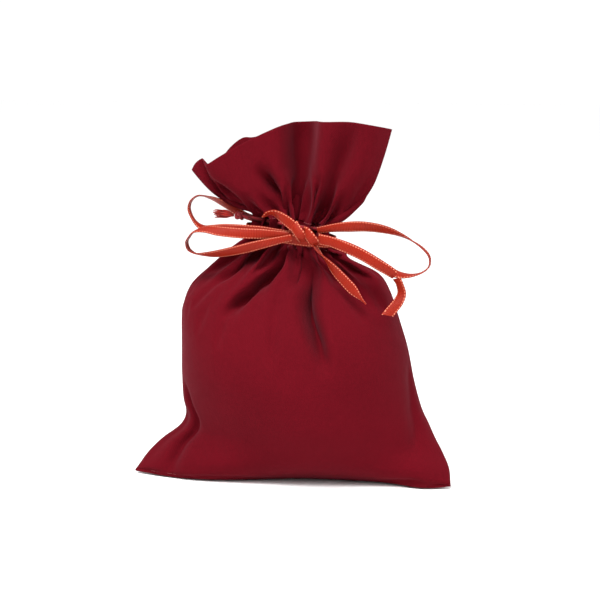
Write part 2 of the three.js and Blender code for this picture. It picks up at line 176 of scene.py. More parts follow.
class SackColours(bpy.types.PropertyGroup):
    """Colours of the materials."""

    cotton: colour_property("Cotton", "Colour of the sack's cloth", (0.103, 0.0024, 0.0068))
    cord: colour_property("Drawstring", "Colour of the drawstring", (0.27, 0.011, 0.018))
    fray: colour_property("Frayed yarn", "Colour of the drawstring's frayed ends", (0.42, 0.020, 0.014))
    thread: colour_property("Sewing thread", "Colour of the stitches", (0.22, 0.012, 0.022))
    ribbon: colour_property("Ribbon", "Colour of the satin ribbon", (0.28, 0.0138, 0.0038))
    ribbon_edge: colour_property(
        "Ribbon edge", "Colour of the stitches along the ribbon's edges", (0.72, 0.23, 0.14))


# ---------------------------------------------------------------- small helpers
def at_neck(x, y, z):
    """A place in the neck's own tilted frame, from millimetres."""
    return TO_NECK @ (Vector((x, y, z)) * MM)


def smooth(low, high, value):
    """0 at low, 1 at high, and an even turn between; low may be the larger."""
    t = max(0.0, min(1.0, (value - low) / (high - low)))
    return t * t * (3 - 2 * t)


def hermite(p0, p1, p2, p3, t):
    """A point between p1 and p2 on the smooth curve through four points or numbers."""
    bend = 2 * p0 - 5 * p1 + 4 * p2 - p3
    twist = 3 * p1 - p0 - 3 * p2 + p3
    return 0.5 * (2 * p1 + (p2 - p0) * t + bend * t * t + twist * t ** 3)


def table_at(table, height):
    """The values of a table at a cloth height, on smooth curves through its rows."""
    last = len(table) - 1
    i = max(0, min(last - 1, sum(1 for row in table if row[0] <= height) - 1))
    t = (height - table[i][0]) / (table[i + 1][0] - table[i][0])
    rows = [table[max(i - 1, 0)], table[i], table[i + 1], table[min(i + 2, last)]]
    return [hermite(a, b, c, d, t) for a, b, c, d in zip(*(row[1:] for row in rows))]


def value_at(pairs, x):
    """The value at x on straight lines through pairs of x and value."""
    for (x0, a), (x1, b) in zip(pairs, pairs[1:]):
        if x <= x1:
            return a + (b - a) * (x - x0) / (x1 - x0)
    return pairs[-1][1]


def smooth_curve(points, steps=14):
    """A dense smooth curve through a few points."""
    ends = [points[0], *points, points[-1]]
    dense = [hermite(*ends[i:i + 4], k / steps) for i in range(len(points) - 1) for k in range(steps)]
    return dense + [points[-1]]


def walk(points, count):
    """count + 1 points spread evenly along a row of points."""
    gaps = [(b - a).length for a, b in zip(points, points[1:])]
    total = sum(gaps)
    out, i, passed = [], 0, 0.0
    for k in range(count + 1):
        target = total * k / count
        while i < len(gaps) - 1 and passed + gaps[i] < target:
            passed += gaps[i]
            i += 1
        out.append(points[i].lerp(points[i + 1], min(1.0, (target - passed) / max(gaps[i], 1e-9))))
    return out


def settings(context, group):
    return getattr(context.scene, "gift_sack_" + group)


def placed(name, data):
    """A new object in the scene."""
    new = bpy.data.objects.new(name, data)
    bpy.context.scene.collection.objects.link(new)
    return new


def finished_mesh(name, bm):
    mesh = bpy.data.meshes.new(name)
    bm.to_mesh(mesh)
    bm.free()
    return mesh


def new_piece(name, bm, material, body=None, replaced=()):
    """An object with its material, that rides on a body and stands for CAD nodes."""
    mesh = finished_mesh(name, bm)
    mesh.shade_smooth()
    piece = placed(name, mesh)
    mesh.materials.append(material)
    if body:
        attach(piece, body)
    if replaced:
        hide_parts(*replaced)
    return piece


def add_modifier(piece, name, kind, **values):
    modifier = piece.modifiers.new(name, kind)
    for key, value in values.items():
        setattr(modifier, key, value)
    return modifier


# ---------------------------------------------------------------- the cloth as it hangs, before it settles
def bump(value, middle, spread):
    """1 at the middle, falling away to 0 on both sides."""
    return math.exp(-((value - middle) / spread) ** 2)


def tab_at(height, k):
    """How far the casing's mouth stands out at a step k across the panel."""
    return TAB_REACH * bump(height, TAB_HEIGHT, TAB_SPREAD) * smooth(TAB_START, HALF_STEPS, k)


def belly_row(height, layer):
    """A row across a panel below the casing."""
    left, right, left_y, right_y, side_z, round_power = table_at(SEAM_LINE, height)
    depth, middle_z = table_at(FRONT_LINE if layer < 0 else BACK_LINE, height)
    tilt = math.tan(NECK_TILT) * smooth(TILT_START, CASING_LOW, height)
    row = []
    for k in range(-HALF_STEPS, HALF_STEPS + 1):
        angle = k / HALF_STEPS * math.pi / 2
        across = math.copysign(abs(math.sin(angle)) ** (2 / round_power), angle)
        bulge = math.cos(angle) ** (2 / round_power)
        x = (left + right) / 2 + (right - left) / 2 * across + tab_at(height, k)
        seam_y = left_y + (right_y - left_y) * (across + 1) / 2
        forward = sum(reach * bump(x, middle, spread) for reach, middle, spread in FOOT_FORWARD)
        y = seam_y + (depth - seam_y) * bulge - forward * smooth(FOOT_TOP, 0, height)
        z = side_z + (middle_z - side_z) * bulge - tilt * (x - NECK.x / MM)
        row.append(Vector((x, y, z)))
    return row


def casing_row(height, layer):
    """A row across a panel in the casing."""
    row = []
    for k in range(-HALF_STEPS, HALF_STEPS + 1):
        angle = k / HALF_STEPS * math.pi / 2
        row.append(at_neck(
            CASING_REACH * math.sin(angle) + tab_at(height, k),
            layer * CASING_DEPTH * math.cos(angle),
            min(height, CASING_TOP) - CASING_MIDDLE) / MM)
    return row


def panel_row(height, layer, count):
    """One row across a panel from the left seam, in millimetres: layer -1 front, 1 back."""
    if height <= CASING_LOW:
        return walk(belly_row(height, layer), count)
    foot = walk(casing_row(height, layer), count)
    if height <= CASING_TOP:
        return foot
    rim = walk(smooth_curve([Vector(p) for p in (RIM_FRONT if layer < 0 else RIM_BACK)]), count)
    rise = (height - CASING_TOP) / (RIM - CASING_TOP)
    row = []
    for i, (a, b) in enumerate(zip(foot, rim)):
        flare = value_at(FLARE_FRONT if layer < 0 else FLARE_BACK, 2 * i / count - 1)
        p = a.lerp(b, rise)
        p.x = a.x + (b.x - a.x) * rise ** flare
        p.y = a.y + (b.y - a.y) * rise ** (0.5 + flare / 2)
        row.append(p)
    return row


def fold_depth(across, height, folds):
    """How far the long folds draw the cloth in at a place on the flat panel, all in millimetres."""
    depth = 0.0
    for x0, h0, x1, h1, wide0, wide1, deep in folds:
        line = Vector((x1 - x0, h1 - h0))
        from_start = Vector((across - x0, height - h0))
        t = from_start.dot(line) / line.length_squared
        sideways = (from_start - line * t).length
        wide = wide0 + (wide1 - wide0) * max(0.0, min(1.0, t))
        fade = smooth(1.2, 0.7, t) * smooth(-0.2, 0.12, t)
        depth += deep * fade * math.exp(-(sideways / wide) ** FOLD_SHARPNESS)
    return depth


# The pleats' depth, and the cloth heights between which they show.
PLEAT_DEPTH, PLEATS_LOW, PLEATS_TOP = 2.9, 88, 150


def hung_cloth(around, up, pleats):
    """Rows of points round the sack, from the bottom seam to the rim, pleated at the casing."""
    half = around // 2
    rows = []
    for j in range(up + 1):
        height = RIM * j / up
        front = panel_row(height, -1, half)
        back = panel_row(height, 1, half)
        ring = front + back[-2:0:-1]
        below = smooth(PLEATS_LOW, CASING_LOW, height) ** 2
        above = (1 - smooth(CASING_TOP + 1, PLEATS_TOP, height)) ** 1.2
        moved = []
        for i, p in enumerate(ring):
            along = ring[(i + 1) % around] - ring[i - 1]
            out = Vector((along.y, -along.x, 0)).normalized()
            u = i / around
            uneven = 0.35 * math.sin(2 * math.pi * (3 * u + 0.1)) + 0.2 * math.sin(2 * math.pi * 7 * u)
            pleat = math.cos(2 * math.pi * (pleats * u + uneven)) - 0.9
            moved.append(p + out * (PLEAT_DEPTH * below * above * pleat))
        rows.append(moved)
    return rows


# ---------------------------------------------------------------- cloth simulation
SIM_SCALE = 10.0  # the cloth settles at ten times its size, where the solver's defaults suit it
SETTLE_FRAMES = 30
LOWEST = 0.45 * MM  # the cloth's outer face over the ground
BELLY_HOLD = 0.14
EDGE_MOVE, BELLY_MOVE, COLLAR_MOVE = 1.5, 4.0, 2.2
# How much a fold draws the cloth straight back, and how much along its own normal.
FOLD_BACK, FOLD_INWARD = 0.55, 0.45


def cloth_grid(sizes):
    """The whole sack as one tube of cloth, as it hangs, with each point's place on the flat cut."""
    around, up = sizes.around, sizes.up
    rows = hung_cloth(around, up, sizes.pleats)
    bm = bmesh.new()
    bm.loops.layers.uv.new("cut")
    bmesh.ops.create_grid(bm, x_segments=around, y_segments=up, size=1, calc_uvs=True)
    flat = bm.verts.layers.float_vector.new("flat")
    place = bm.verts.layers.float_vector.new("place")
    for v in bm.verts:
        i, j = round((v.co.x + 1) / 2 * around), round((v.co.y + 1) / 2 * up)
        u = i / around
        across = 4 * u - 1 if u <= 0.5 else 3 - 4 * u
        layer = -1 if u <= 0.5 else 1
        height = RIM * j / up
        v[flat] = Vector((across * sizes.width / 2 / MM, layer * 0.3, height)) * MM * SIM_SCALE
        v[place] = Vector((across, layer, height))
        v.co = rows[j][i % around] * MM * SIM_SCALE
    bmesh.ops.remove_doubles(bm, verts=bm.verts, dist=0.0001)
    bm.normal_update()
    foremost = min(bm.faces, key=lambda face: face.calc_center_median().y)
    if foremost.normal.y > 0:
        bmesh.ops.reverse_faces(bm, faces=bm.faces)
    return bm


def hold_of(height, layer):
    """How firmly a point of the cloth is held to its hung place, from 0 to 1."""
    if CASING_LOW - 1 <= height <= CASING_TOP + 1:
        return 1.0
    if height < CASING_LOW:
        return BELLY_HOLD + 0.4 * smooth(108, CASING_LOW, height) + 0.3 * (1 - smooth(0, 8, height))
    rim, foot = smooth(RIM - 8, RIM, height), 1 - smooth(CASING_TOP, CASING_TOP + 8, height)
    return 0.06 + 0.5 * rim + 0.5 * foot


def most_move(height):
    """How far a point may settle away from its hung place, in millimetres."""
    if height > CASING_LOW:
        return COLLAR_MOVE
    return EDGE_MOVE + BELLY_MOVE * smooth(2, 30, height)


def settle(bm, name):
    """Lets the hung cloth settle against its flat cut, folds it, and returns the mesh at real size."""
    mesh = finished_mesh(name, bm)
    cloth = placed(name, mesh)
    places = [d.vector.copy() for d in mesh.attributes["place"].data]
    held = cloth.vertex_groups.new(name="held")
    blown = cloth.vertex_groups.new(name="blown")
    for i, p in enumerate(places):
        held.add([i], hold_of(p.z, p.y), "REPLACE")
        blown.add([i], 1.0 - smooth(95, 118, p.z), "REPLACE")
    cloth.shape_key_add(name="hung")
    cut = cloth.shape_key_add(name="cut")
    for i, d in enumerate(mesh.attributes["flat"].data):
        cut.data[i].co = d.vector
    cut.value = 0.0
    modifier = cloth.modifiers.new("settle", "CLOTH")
    s = modifier.settings
    s.quality = 8
    s.mass = 0.25
    s.air_damping = 2.0
    s.tension_stiffness = s.compression_stiffness = 22
    s.shear_stiffness = 6
    s.bending_stiffness = 2.0
    s.tension_damping = s.compression_damping = 6
    s.bending_damping = 1.0
    s.vertex_group_mass = "held"
    s.pin_stiffness = 1.0
    s.rest_shape_key = cut
    s.use_pressure = True
    s.uniform_pressure_force = 2.2
    s.vertex_group_pressure = "blown"
    s.effector_weights.gravity = 0.3
    modifier.collision_settings.use_collision = False
    modifier.point_cache.frame_start = 1
    modifier.point_cache.frame_end = SETTLE_FRAMES
    for step in range(1, SETTLE_FRAMES + 1):
        bpy.context.scene.frame_set(step)
    graph = bpy.context.evaluated_depsgraph_get()
    settled = bpy.data.meshes.new_from_object(cloth.evaluated_get(graph))
    normals = [v.normal.copy() for v in settled.vertices]
    half_width = settings(bpy.context, "sizes").width / 2 / MM
    for v, start, p in zip(settled.vertices, mesh.vertices, places):
        moved = v.co - start.co
        most = most_move(p.z) * MM * SIM_SCALE
        if moved.length > 1e-6:
            v.co = start.co + moved * (most * math.tanh(moved.length / most) / moved.length)
        fold = fold_depth(p.x * half_width, p.z, FRONT_FOLDS if p.y < 0 else BACK_FOLDS)
        inwards = Vector((0, -p.y, 0)) * FOLD_BACK - normals[v.index] * FOLD_INWARD
        v.co += inwards * fold * (1 - abs(p.x) ** 6) * MM * SIM_SCALE
        v.co.z = max(v.co.z, LOWEST * SIM_SCALE)
    sewn = {}
    for v, p in zip(settled.vertices, places):
        if p.z == 0:
            sewn.setdefault(round(p.x, 3), []).append(v)
    for pair in sewn.values():
        middle = sum((v.co for v in pair), Vector()) / len(pair)
        for v in pair:
            v.co = middle
    bpy.context.scene.frame_set(1)
    bpy.data.objects.remove(cloth)
    settled.transform(Matrix.Scale(1 / SIM_SCALE, 4))
    return settled


def shared_panel(settled, front):
    """One panel cut out of the settled tube, with its hem turned in at the rim as far as the casing."""
    bm = bmesh.new()
    bm.from_mesh(settled)
    cut = bm.loops.layers.uv["cut"]
    place = bm.verts.layers.float_vector["place"]
    others = []
    for face in bm.faces:
        middle = sum(loop[cut].uv.x for loop in face.loops) / len(face.loops)
        if (middle < 0.5) != front:
            others.append(face)
    bmesh.ops.delete(bm, geom=others, context="FACES")
    bm.normal_update()
    hem_faces = [f for f in bm.faces if all(v[place].z > CASING_TOP - 1 for v in f.verts)]
    made = bmesh.ops.duplicate(bm, geom=hem_faces)["geom"]
    hem = [g for g in made if isinstance(g, bmesh.types.BMVert)]
    bm.normal_update()
    for v in hem:
        depth = 0.35 + 0.55 * smooth(RIM, RIM - 5, v[place].z) if v[place].z < RIM else 0.35
        v.co -= v.normal * depth * MM
    bmesh.ops.reverse_faces(bm, faces=[g for g in made if isinstance(g, bmesh.types.BMFace)])
    rims = [e for e in bm.edges if e.is_boundary and all(v[place].z > RIM - 0.1 for v in e.verts)]
    bmesh.ops.bridge_loops(bm, edges=rims)
    for v in hem:
        v[place].y = 0.0
    return bm


# ---------------------------------------------------------------- bands, tubes and stitches
def line_frames(points, reference, turns=None):
    """Where each step of a line stands: its point, its side and its up, from a reference for up."""
    frames = []
    last = len(points) - 1
    for i, p in enumerate(points):
        along = (points[min(i + 1, last)] - points[max(i - 1, 0)]).normalized()
        side = along.cross(reference(i) if callable(reference) else reference).normalized()
        if turns:
            side = Matrix.Rotation(turns[i], 3, along) @ side
        frames.append((p, side, side.cross(along).normalized()))
    return frames


def strip(bm, columns, rows, uv_length):
    """A flat grid to be laid along a line: its points."""
    uv = bm.loops.layers.uv.verify()
    made = bmesh.ops.create_grid(bm, x_segments=columns, y_segments=rows, size=1, calc_uvs=True)
    for face in {f for v in made["verts"] for f in v.link_faces}:
        for loop in face.loops:
            loop[uv].uv.y *= uv_length
    return made["verts"]


def length_of(points):
    return sum((b - a).length for a, b in zip(points, points[1:]))


def tube(bm, points, radius, sides=8, reference=Vector((0.12, 0.3, 1)), sizes=None):
    """A round tube along a line of points, thinner or thicker by a size at each point."""
    frames = line_frames(points, reference)
    rows = len(points) - 1
    made = strip(bm, sides, rows, length_of(points) / (2 * math.pi * radius))
    for v in made:
        turn = 2 * math.pi * (round((v.co.x + 1) / 2 * sides) % sides) / sides
        j = round((v.co.y + 1) / 2 * rows)
        point, side, up = frames[j]
        a, b = radius * math.cos(turn), radius * math.sin(turn)
        v.co = point + (side * a + up * b) * (sizes[j] if sizes else 1.0)
    bmesh.ops.remove_doubles(bm, verts=made, dist=1e-7)


def closed_piece(name, bm, material, body, node):
    """A piece made of tubes, with their ends filled."""
    bmesh.ops.holes_fill(bm, edges=[e for e in bm.edges if e.is_boundary], sides=0)
    bmesh.ops.recalc_face_normals(bm, faces=bm.faces)
    return new_piece(name, bm, material, body, [node])


def ribbon_line(route, spacing):
    """A ribbon's route as even steps: points in metres and turns in radians."""
    dense = smooth_curve([Vector((x, y, z, turn)) for x, y, z, turn in route], 24)
    line = [Vector(p[:3]) * MM for p in dense]
    count = max(8, round(length_of(line) / spacing))
    passed = [0.0]
    for a, b in zip(line, line[1:]):
        passed.append(passed[-1] + (b - a).length)
    points, turns, i = [], [], 0
    for k in range(count + 1):
        target = passed[-1] * k / count
        while i < len(line) - 2 and passed[i + 1] < target:
            i += 1
        t = min(1.0, (target - passed[i]) / max(passed[i + 1] - passed[i], 1e-9))
        points.append(line[i].lerp(line[i + 1], t))
        turns.append(math.radians(dense[i][3] + (dense[i + 1][3] - dense[i][3]) * t))
    return points, turns


BAND_CELLS, RIB_HEIGHT = 10, 0.035 * MM


def band(bm, points, turns, sizes, reference=Vector((0, -1, 0)), cup=0.0, widths=None, slant=0.0):
    """A ribbon along a line, ribbed across, its ribs flattening out towards both edges."""
    half = sizes.width / 2
    frames = line_frames(points, reference, turns)
    rows = len(frames) - 1
    total = length_of(points)
    for v in strip(bm, BAND_CELLS, rows, total / sizes.width):
        across = v.co.x
        j = round((v.co.y + 1) / 2 * rows)
        point, side, up = frames[j]
        rib = RIB_HEIGHT * math.sin(2 * math.pi * (total * j / rows) / sizes.rib_pitch)
        bow = cup * (1 - across * across)
        width = half * (widths[j] if widths else 1.0)
        along = up.cross(side)
        lean = slant * across * half * smooth(rows - 8, rows, j)
        v.co = point + side * across * width + up * (bow + rib * (1 - across ** 8)) + along * lean


def rib_step(sizes):
    """The step along a ribbon, four to a rib."""
    return sizes.rib_pitch / 4


# ---------------------------------------------------------------- materials
def fill_sockets(tree, node, inputs):
    for key, value in inputs.items():
        if isinstance(value, bpy.types.NodeSocket):
            tree.links.new(value, node.inputs[key])
        else:
            node.inputs[key].default_value = value


def add_node(tree, kind, inputs=None, **values):
    """A node with its settings and its sockets, each a value or a link from another socket."""
    new = tree.nodes.new(kind)
    for key, value in values.items():
        setattr(new, key, value)
    fill_sockets(tree, new, inputs or {})
    return new


def maths(tree, operation, *inputs, clamp=False):
    """The result of a maths node on up to three values or sockets."""
    sockets = dict(enumerate(inputs))
    return add_node(tree, "ShaderNodeMath", sockets, operation=operation, use_clamp=clamp).outputs[0]


def scaled(tree, colour, amount):
    """A colour times a number."""
    sockets = {0: colour, "Scale": amount}
    return add_node(tree, "ShaderNodeVectorMath", sockets, operation="SCALE").outputs[0]


def noise(tree, place, scale, detail):
    sockets = {"Vector": place, "Scale": scale, "Detail": detail}
    return add_node(tree, "ShaderNodeTexNoise", sockets).outputs["Fac"]


def mixed(tree, amount, a, b, blend="MIX"):
    new = add_node(tree, "ShaderNodeMix", {0: amount, 6: a, 7: b}, data_type="RGBA", blend_type=blend)
    return new.outputs[2]


def new_group(name, inputs, outputs):
    """An empty shader node group with named sockets: kinds are Vector, Float and Color."""
    group = bpy.data.node_groups.new(name, "ShaderNodeTree")
    for label, kind in inputs:
        group.interface.new_socket(label, in_out="INPUT", socket_type="NodeSocket" + kind)
    for label, kind in outputs:
        group.interface.new_socket(label, in_out="OUTPUT", socket_type="NodeSocket" + kind)
    return group, add_node(group, "NodeGroupInput"), add_node(group, "NodeGroupOutput")


def plain_weave_group():
    """Threads over and under one another: height 0 to 1, and a mask of the gaps between threads, where
    painted shade goes.
    """
    group, source, sink = new_group(
        "plain weave",
        [("Threads", "Vector"), ("Slub", "Float")],
        [("Height", "Float"), ("Gaps", "Float")])
    threads = source.outputs["Threads"]
    slub = maths(group, "MULTIPLY", noise(group, threads, 0.13, 2.0), source.outputs["Slub"])
    parts = add_node(group, "ShaderNodeSeparateXYZ", {0: threads}).outputs
    warp, weft = [
        maths(group, "SINE", maths(group, "MULTIPLY", maths(group, "ADD", parts[axis], slub), math.pi))
        for axis in "XY"]
    over = maths(group, "MULTIPLY", warp, weft)
    height = maths(group, "MULTIPLY_ADD", over, 0.5, 0.5)
    gaps = maths(group, "SUBTRACT", 1.0, maths(group, "ABSOLUTE", over), clamp=True)
    group.links.new(height, sink.inputs["Height"])
    group.links.new(maths(group, "POWER", gaps, 3.0), sink.inputs["Gaps"])
    return group


DRIFT_NUMBERS = ("Clouds", "Specks", "Amount")


def dye_drift_group():
    """A dyed colour that drifts a little over the surface, in broad clouds and in small specks."""
    group, source, sink = new_group(
        "dye drift",
        [("Color", "Color"), ("Place", "Vector"), *((name, "Float") for name in DRIFT_NUMBERS)],
        [("Color", "Color"), ("Drift", "Float")])
    given = source.outputs
    clouds = noise(group, given["Place"], given["Clouds"], 3.0)
    specks = noise(group, given["Place"], given["Specks"], 2.0)
    drift = maths(group, "MULTIPLY_ADD", specks, 0.6, clouds)
    centred = maths(group, "SUBTRACT", drift, 0.8)
    gain = maths(group, "MULTIPLY_ADD", centred, given["Amount"], 1.0)
    group.links.new(scaled(group, given["Color"], gain), sink.inputs["Color"])
    group.links.new(drift, sink.inputs["Drift"])
    return group


def shared_group(name, maker):
    return bpy.data.node_groups.get(name) or maker()


def place_group(tree, group, inputs):
    new = add_node(tree, "ShaderNodeGroup", node_tree=group)
    fill_sockets(tree, new, inputs)
    return new.outputs


def drifting_dye(tree, coords, colour, *numbers):
    """A dyed colour that drifts over the surface: scale of clouds, scale of specks, amount."""
    sockets = {"Color": (*colour, 1), "Place": coords["Object"], **dict(zip(DRIFT_NUMBERS, numbers))}
    return place_group(tree, shared_group("dye drift", dye_drift_group), sockets)["Color"]


def new_material(name, roughness, sheen, sheen_tint, specular):
    """A material with its shader's constants set, and its node tree."""
    material = bpy.data.materials.new(name)
    material.use_nodes = True
    tree = material.node_tree
    shader = tree.nodes["Principled BSDF"]
    shader.inputs["Roughness"].default_value = roughness
    shader.inputs["Sheen Weight"].default_value = sheen
    shader.inputs["Sheen Roughness"].default_value = 0.45
    shader.inputs["Sheen Tint"].default_value = (*sheen_tint, 1)
    shader.inputs["Specular IOR Level"].default_value = specular
    return material, tree, shader


def bumped(tree, shader, height, distance, strength=1.0):
    sockets = {"Height": height, "Distance": distance, "Strength": strength}
    relief = add_node(tree, "ShaderNodeBump", sockets)
    tree.links.new(relief.outputs["Normal"], shader.inputs["Normal"])


def cotton_material(colours, sizes):
    """Dyed cotton in a fine plain weave, with painted shade in the gaps between threads."""
    ready = bpy.data.materials.get("red cotton")
    if ready:
        return ready
    material, tree, shader = new_material("red cotton", 0.9, 0.07, (1.0, 0.30, 0.40), 0.04)
    coords = add_node(tree, "ShaderNodeTexCoord").outputs
    around_threads = 2 * sizes.width / sizes.thread_pitch
    up_threads = RIM * MM / sizes.thread_pitch
    sockets = {"Vector": coords["UV"], "Scale": (around_threads, up_threads, 1)}
    threads = add_node(tree, "ShaderNodeMapping", sockets).outputs[0]
    plain_weave = shared_group("plain weave", plain_weave_group)
    weave = place_group(tree, plain_weave, {"Threads": threads, "Slub": 1.2})
    dyed = drifting_dye(tree, coords, colours.cotton, 34.0, 900.0, 0.35)
    # Painted shade: the gaps between threads are darkened to 0.55 of the dye.
    colour = mixed(tree, maths(tree, "MULTIPLY", weave["Gaps"], 0.5), dyed, scaled(tree, dyed, 0.55))
    tree.links.new(colour, shader.inputs["Base Color"])
    nap = noise(tree, coords["Object"], 420.0, 4.0)
    height = maths(tree, "MULTIPLY_ADD", nap, 1.4, weave["Height"])
    bumped(tree, shader, height, 0.09 * MM, 0.7)
    return material


def twisted_material(name, colour, twist, roughness=0.7):
    """A cord or thread of twisted yarn: its strands run slantwise round it, with painted shade in the
    grooves between them.
    """
    ready = bpy.data.materials.get(name)
    if ready:
        return ready
    material, tree, shader = new_material(name, roughness, 0.35, (1.0, 0.5, 0.45), 0.25)
    coords = add_node(tree, "ShaderNodeTexCoord").outputs
    parts = add_node(tree, "ShaderNodeSeparateXYZ", {0: coords["UV"]}).outputs
    along = maths(tree, "MULTIPLY", parts["Y"], twist)
    slant = maths(tree, "ADD", maths(tree, "MULTIPLY", parts["X"], 2.0), along)
    strand = maths(tree, "ABSOLUTE", maths(tree, "SINE", maths(tree, "MULTIPLY", slant, math.pi)))
    dyed = drifting_dye(tree, coords, colour, 300.0, 2600.0, 0.8)
    # Painted shade: the grooves between strands are darkened to 0.4 of the dye.
    strands_with_painted_shade = mixed(tree, strand, scaled(tree, dyed, 0.4), dyed)
    tree.links.new(strands_with_painted_shade, shader.inputs["Base Color"])
    bumped(tree, shader, strand, 0.12 * MM)
    return material


def ribbon_material(colours, sizes):
    """Satin ribbon: cross ribs with painted shade in their troughs, a soft gloss, and light stitches along
    both edges.
    """
    ready = bpy.data.materials.get("orange satin ribbon")
    if ready:
        return ready
    material, tree, shader = new_material("orange satin ribbon", 0.45, 0.02, (1.0, 0.5, 0.4), 0.13)
    coords = add_node(tree, "ShaderNodeTexCoord").outputs
    parts = add_node(tree, "ShaderNodeSeparateXYZ", {0: coords["UV"]}).outputs
    rib_turns = 2 * math.pi * sizes.width / sizes.rib_pitch
    rib = maths(tree, "SINE", maths(tree, "MULTIPLY", parts["Y"], rib_turns))
    from_middle = maths(tree, "ABSOLUTE", maths(tree, "SUBTRACT", parts["X"], 0.5))
    edge = maths(tree, "GREATER_THAN", from_middle, 0.37)
    inner = maths(tree, "LESS_THAN", from_middle, 0.46)
    stitch_turns = 2 * math.pi * sizes.width / sizes.stitch_pitch
    wave = maths(tree, "SINE", maths(tree, "MULTIPLY", parts["Y"], stitch_turns))
    dash = maths(tree, "GREATER_THAN", wave, 0.0)
    stitches = maths(tree, "MULTIPLY", maths(tree, "MULTIPLY", edge, inner), dash)
    dyed = drifting_dye(tree, coords, colours.ribbon, 90.0, 1500.0, 0.3)
    level = maths(tree, "MULTIPLY_ADD", rib, 0.5, 0.5)
    # Painted shade: the rib troughs are darkened to 0.72 of the dye.
    ribbed = mixed(tree, level, scaled(tree, dyed, 0.72), dyed)
    sewn = mixed(tree, stitches, ribbed, (*colours.ribbon_edge, 1))
    tree.links.new(sewn, shader.inputs["Base Color"])
    height = maths(tree, "ADD", maths(tree, "MULTIPLY", level, 0.6), stitches)
    bumped(tree, shader, height, 0.08 * MM)
    return material


# ---------------------------------------------------------------- the stage
TARGET = Vector((1.6, 0, 67.4)) * MM
CAMERA_AZIMUTH, CAMERA_ELEVATION, CAMERA_DISTANCE = 12.0, 9.0, 620 * MM
CAMERA_LENS = 96.7


def outward(azimuth, elevation):
    """The way from the object to a place at an azimuth and an elevation in degrees."""
    a, e = math.radians(azimuth), math.radians(elevation)
    return Vector((math.sin(a) * math.cos(e), -math.cos(a) * math.cos(e), math.sin(e)))


def aim(thing, azimuth, elevation, distance):
    """Puts a camera or a light where it looks at the target."""
    way = outward(azimuth, elevation)
    thing.location = TARGET + way * distance
    thing.rotation_euler = (-way).to_track_quat("-Z", "Y").to_euler()


def soft_light(name, azimuth, elevation, distance, size, power):
    data = bpy.data.lights.new(name, "AREA")
    data.shape = "DISK"
    data.size = size
    data.energy = power
    aim(placed(name, data), azimuth, elevation, distance)


def white_studio(scene):
    """A white room: seen white all round, and its light falls mostly from above."""
    world = bpy.data.worlds.new("white studio")
    world.use_nodes = True
    tree = world.node_tree
    background = tree.nodes["Background"]
    background.inputs["Color"].default_value = (1, 1, 1, 1)
    way = add_node(tree, "ShaderNodeTexCoord").outputs["Generated"]
    height = add_node(tree, "ShaderNodeSeparateXYZ", {0: way}).outputs["Z"]
    falling = maths(tree, "MULTIPLY_ADD", maths(tree, "MAXIMUM", height, 0.0), 1.3, 0.17)
    seen = add_node(tree, "ShaderNodeLightPath").outputs["Is Camera Ray"]
    strength = maths(tree, "MAXIMUM", falling, maths(tree, "MULTIPLY", seen, 1.05))
    tree.links.new(strength, background.inputs["Strength"])
    scene.world = world


class GIFTSACK_OT_stage(bpy.types.Operator):
    """Sets up the camera, a plain white floor and soft studio light"""

    bl_idname = "giftsack.stage"
    bl_label = "Stage and camera"

    def execute(self, context):
        data = bpy.data.cameras.new("camera")
        data.lens = CAMERA_LENS
        data.clip_start = 0.01
        camera = placed("camera", data)
        aim(camera, CAMERA_AZIMUTH, CAMERA_ELEVATION, CAMERA_DISTANCE)
        context.scene.camera = camera

        bm = bmesh.new()
        bmesh.ops.create_grid(bm, x_segments=1, y_segments=1, size=4)
        mesh = finished_mesh("floor", bm)
        floor = placed("floor", mesh)
        material = bpy.data.materials.new("white floor")
        material.use_nodes = True
        shader = material.node_tree.nodes["Principled BSDF"]
        shader.inputs["Base Color"].default_value = (0.96, 0.96, 0.96, 1)
        shader.inputs["Roughness"].default_value = 0.9
        shader.inputs["Specular IOR Level"].default_value = 0.0
        mesh.materials.append(material)

        soft_light("key light", -20, 62, 0.9, 0.42, 9.4)
        soft_light("side light", 75, 40, 1.6, 1.0, 4)
        soft_light("front light", 32, 42, 0.6, 0.4, 0.8)
        white_studio(context.scene)
        context.scene.view_settings.view_transform = "Standard"
        context.scene.view_settings.look = "None"
        return {"FINISHED"}


class GIFTSACK_OT_cloth(bpy.types.Operator):
    """Hangs, settles and cuts the sack's two cloth panels"""

    bl_idname = "giftsack.cloth"
    bl_label = "Cloth"

    def execute(self, context):
        sizes, colours = settings(context, "sizes"), settings(context, "colours")
        settled = settle(cloth_grid(sizes), "hung cloth")
        cotton = cotton_material(colours, sizes)
        for side, front in (("front", True), ("back", False)):
            piece = new_piece("sack_cloth_" + side, shared_panel(settled, front), cotton)
            add_modifier(piece, "cloth thickness", "SOLIDIFY", thickness=sizes.thickness, offset=-1)
            add_modifier(piece, "smooth", "SUBSURF", levels=1, render_levels=1)
            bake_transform(piece)
            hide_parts(side + "_panel", "casing_" + side, "collar_" + side)
        bpy.data.meshes.remove(settled)
        return {"FINISHED"}


